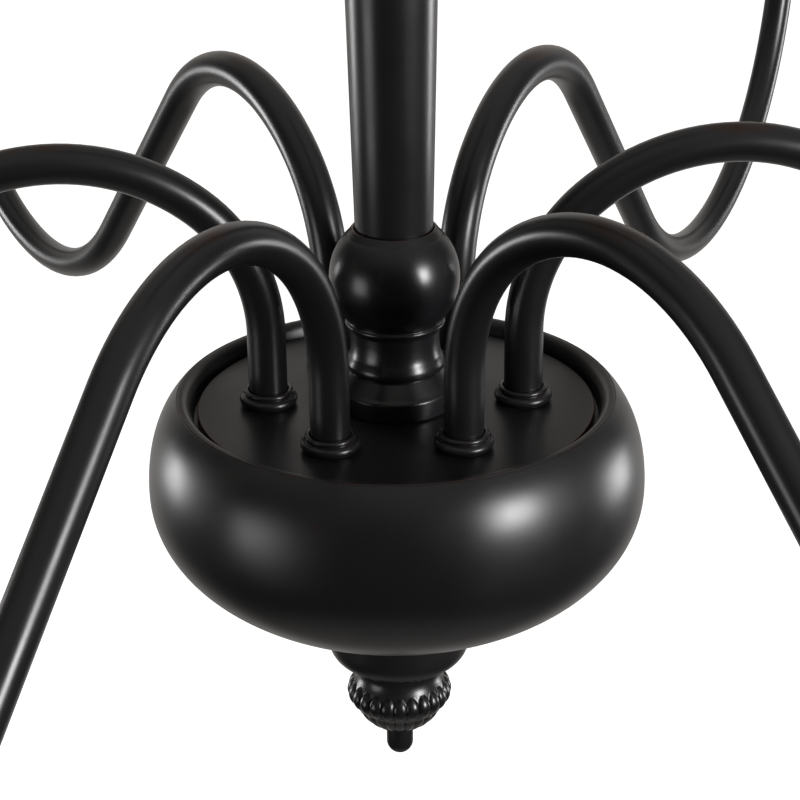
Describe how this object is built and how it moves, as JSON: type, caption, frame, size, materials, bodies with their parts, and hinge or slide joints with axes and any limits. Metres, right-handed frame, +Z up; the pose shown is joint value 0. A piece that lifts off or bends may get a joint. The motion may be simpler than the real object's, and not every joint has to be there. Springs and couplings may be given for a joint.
{
  "type": "multi arm chandelier",
  "caption": "Chandelier of S-bent tube arms on a round hub bowl with a tapered column, turned finial, candle sleeves, short chain and ceiling canopy.",
  "frame": {"origin": "on the fixture's vertical axis at ceiling level, in the plane of the crossbar's top face and the canopy's rim", "axes": "+Z up along the column, +X along the crossbar and towards the foot of arm 1, hanging at rest"},
  "size_m": [0.7264, 0.6554, 0.6814],
  "materials": {
    "zinc_steel": "zinc-plated steel",
    "bronze_spun": "satin oil-rubbed bronze lacquer on spun steel, copper rubbed through on the edges",
    "bronze_chain": "satin oil-rubbed bronze lacquer on welded wire and cast loops",
    "bronze_cast": "satin oil-rubbed bronze lacquer on turned and cast zinc alloy",
    "wire_jacket": "white insulated wire",
    "bronze_tube": "satin oil-rubbed bronze lacquer on bent steel tube",
    "ivory_resin": "matt ivory moulded candle sleeve",
    "socket_phenolic": "black phenolic lamp socket"
  },
  "bodies": {
    "ceiling_fixture": {"crossbar": "zinc_steel", "canopy_nipple": "zinc_steel", "nipple_nut": "zinc_steel", "ground_screw": "zinc_steel", "canopy": "bronze_spun", "canopy_loop": "bronze_chain"},
    "link_1": {"chain_link_1": "bronze_chain"},
    "link_2": {"chain_link_2": "bronze_chain"},
    "link_3": {"chain_link_3": "bronze_chain"},
    "hub": {"top_loop": "bronze_chain", "hub_plate": "bronze_spun", "hub_bowl": "bronze_spun", "bottom_cap": "bronze_spun", "finial": "bronze_cast", "finial_tip": "bronze_cast", "threaded_pipe": "zinc_steel", "plate_nut": "zinc_steel", "bowl_nut": "zinc_steel", "hub_harness": "wire_jacket", "baluster": "bronze_cast", "column": "bronze_spun", "column_cap": "bronze_cast"},
    "arm_1": {"arm_tube_1": "bronze_tube", "foot_collar_1": "bronze_spun", "arm_nut_1": "zinc_steel", "drip_cup_1": "bronze_spun", "lamp_socket_1": "socket_phenolic"},
    "sleeve_1": {"candle_sleeve_1": "ivory_resin"},
    "arm_2": {"arm_tube_2": "bronze_tube", "foot_collar_2": "bronze_spun", "arm_nut_2": "zinc_steel", "drip_cup_2": "bronze_spun", "lamp_socket_2": "socket_phenolic"},
    "sleeve_2": {"candle_sleeve_2": "ivory_resin"},
    "arm_3": {"arm_tube_3": "bronze_tube", "foot_collar_3": "bronze_spun", "arm_nut_3": "zinc_steel", "drip_cup_3": "bronze_spun", "lamp_socket_3": "socket_phenolic"},
    "sleeve_3": {"candle_sleeve_3": "ivory_resin"},
    "arm_4": {"arm_tube_4": "bronze_tube", "foot_collar_4": "bronze_spun", "arm_nut_4": "zinc_steel", "drip_cup_4": "bronze_spun", "lamp_socket_4": "socket_phenolic"},
    "sleeve_4": {"candle_sleeve_4": "ivory_resin"},
    "arm_5": {"arm_tube_5": "bronze_tube", "foot_collar_5": "bronze_spun", "arm_nut_5": "zinc_steel", "drip_cup_5": "bronze_spun", "lamp_socket_5": "socket_phenolic"},
    "sleeve_5": {"candle_sleeve_5": "ivory_resin"},
    "arm_6": {"arm_tube_6": "bronze_tube", "foot_collar_6": "bronze_spun", "arm_nut_6": "zinc_steel", "drip_cup_6": "bronze_spun", "lamp_socket_6": "socket_phenolic"},
    "sleeve_6": {"candle_sleeve_6": "ivory_resin"}
  },
  "joints": [
    {"name": "link_1_swing", "type": "hinge", "parent": "ceiling_fixture", "child": "link_1", "pos_m": [0, 0, -0.0668], "axis": [1, 0, 0], "range_deg": [-12, 12]},
    {"name": "link_2_swing", "type": "hinge", "parent": "link_1", "child": "link_2", "pos_m": [0, 0, -0.098], "axis": [0, 1, 0], "range_deg": [-12, 12]},
    {"name": "link_3_swing", "type": "hinge", "parent": "link_2", "child": "link_3", "pos_m": [0, 0, -0.1297], "axis": [1, 0, 0], "range_deg": [-12, 12]},
    {"name": "hub_swing", "type": "hinge", "parent": "link_3", "child": "hub", "pos_m": [0, 0, -0.1614], "axis": [0, 1, 0], "range_deg": [-12, 12]},
    {"name": "arm_1_swivel", "type": "hinge", "parent": "hub", "child": "arm_1", "pos_m": [0.033, 0, -0.5745], "axis": [0, 0, 1], "range_deg": [-25, 25]},
    {"name": "arm_2_swivel", "type": "hinge", "parent": "hub", "child": "arm_2", "pos_m": [0.0165, 0.02858, -0.5745], "axis": [0, 0, 1], "range_deg": [-25, 25]},
    {"name": "arm_3_swivel", "type": "hinge", "parent": "hub", "child": "arm_3", "pos_m": [-0.0165, 0.02858, -0.5745], "axis": [0, 0, 1], "range_deg": [-25, 25]},
    {"name": "arm_4_swivel", "type": "hinge", "parent": "hub", "child": "arm_4", "pos_m": [-0.033, 0, -0.5745], "axis": [0, 0, 1], "range_deg": [-25, 25]},
    {"name": "arm_5_swivel", "type": "hinge", "parent": "hub", "child": "arm_5", "pos_m": [-0.0165, -0.02858, -0.5745], "axis": [0, 0, 1], "range_deg": [-25, 25]},
    {"name": "arm_6_swivel", "type": "hinge", "parent": "hub", "child": "arm_6", "pos_m": [0.0165, -0.02858, -0.5745], "axis": [0, 0, 1], "range_deg": [-25, 25]},
    {"name": "sleeve_1_lift", "type": "slide", "parent": "arm_1", "child": "sleeve_1", "axis": [0, 0, 1], "range_m": [0, 0.06]},
    {"name": "sleeve_2_lift", "type": "slide", "parent": "arm_2", "child": "sleeve_2", "axis": [0, 0, 1], "range_m": [0, 0.06]},
    {"name": "sleeve_3_lift", "type": "slide", "parent": "arm_3", "child": "sleeve_3", "axis": [0, 0, 1], "range_m": [0, 0.06]},
    {"name": "sleeve_4_lift", "type": "slide", "parent": "arm_4", "child": "sleeve_4", "axis": [0, 0, 1], "range_m": [0, 0.06]},
    {"name": "sleeve_5_lift", "type": "slide", "parent": "arm_5", "child": "sleeve_5", "axis": [0, 0, 1], "range_m": [0, 0.06]},
    {"name": "sleeve_6_lift", "type": "slide", "parent": "arm_6", "child": "sleeve_6", "axis": [0, 0, 1], "range_m": [0, 0.06]}
  ]
}
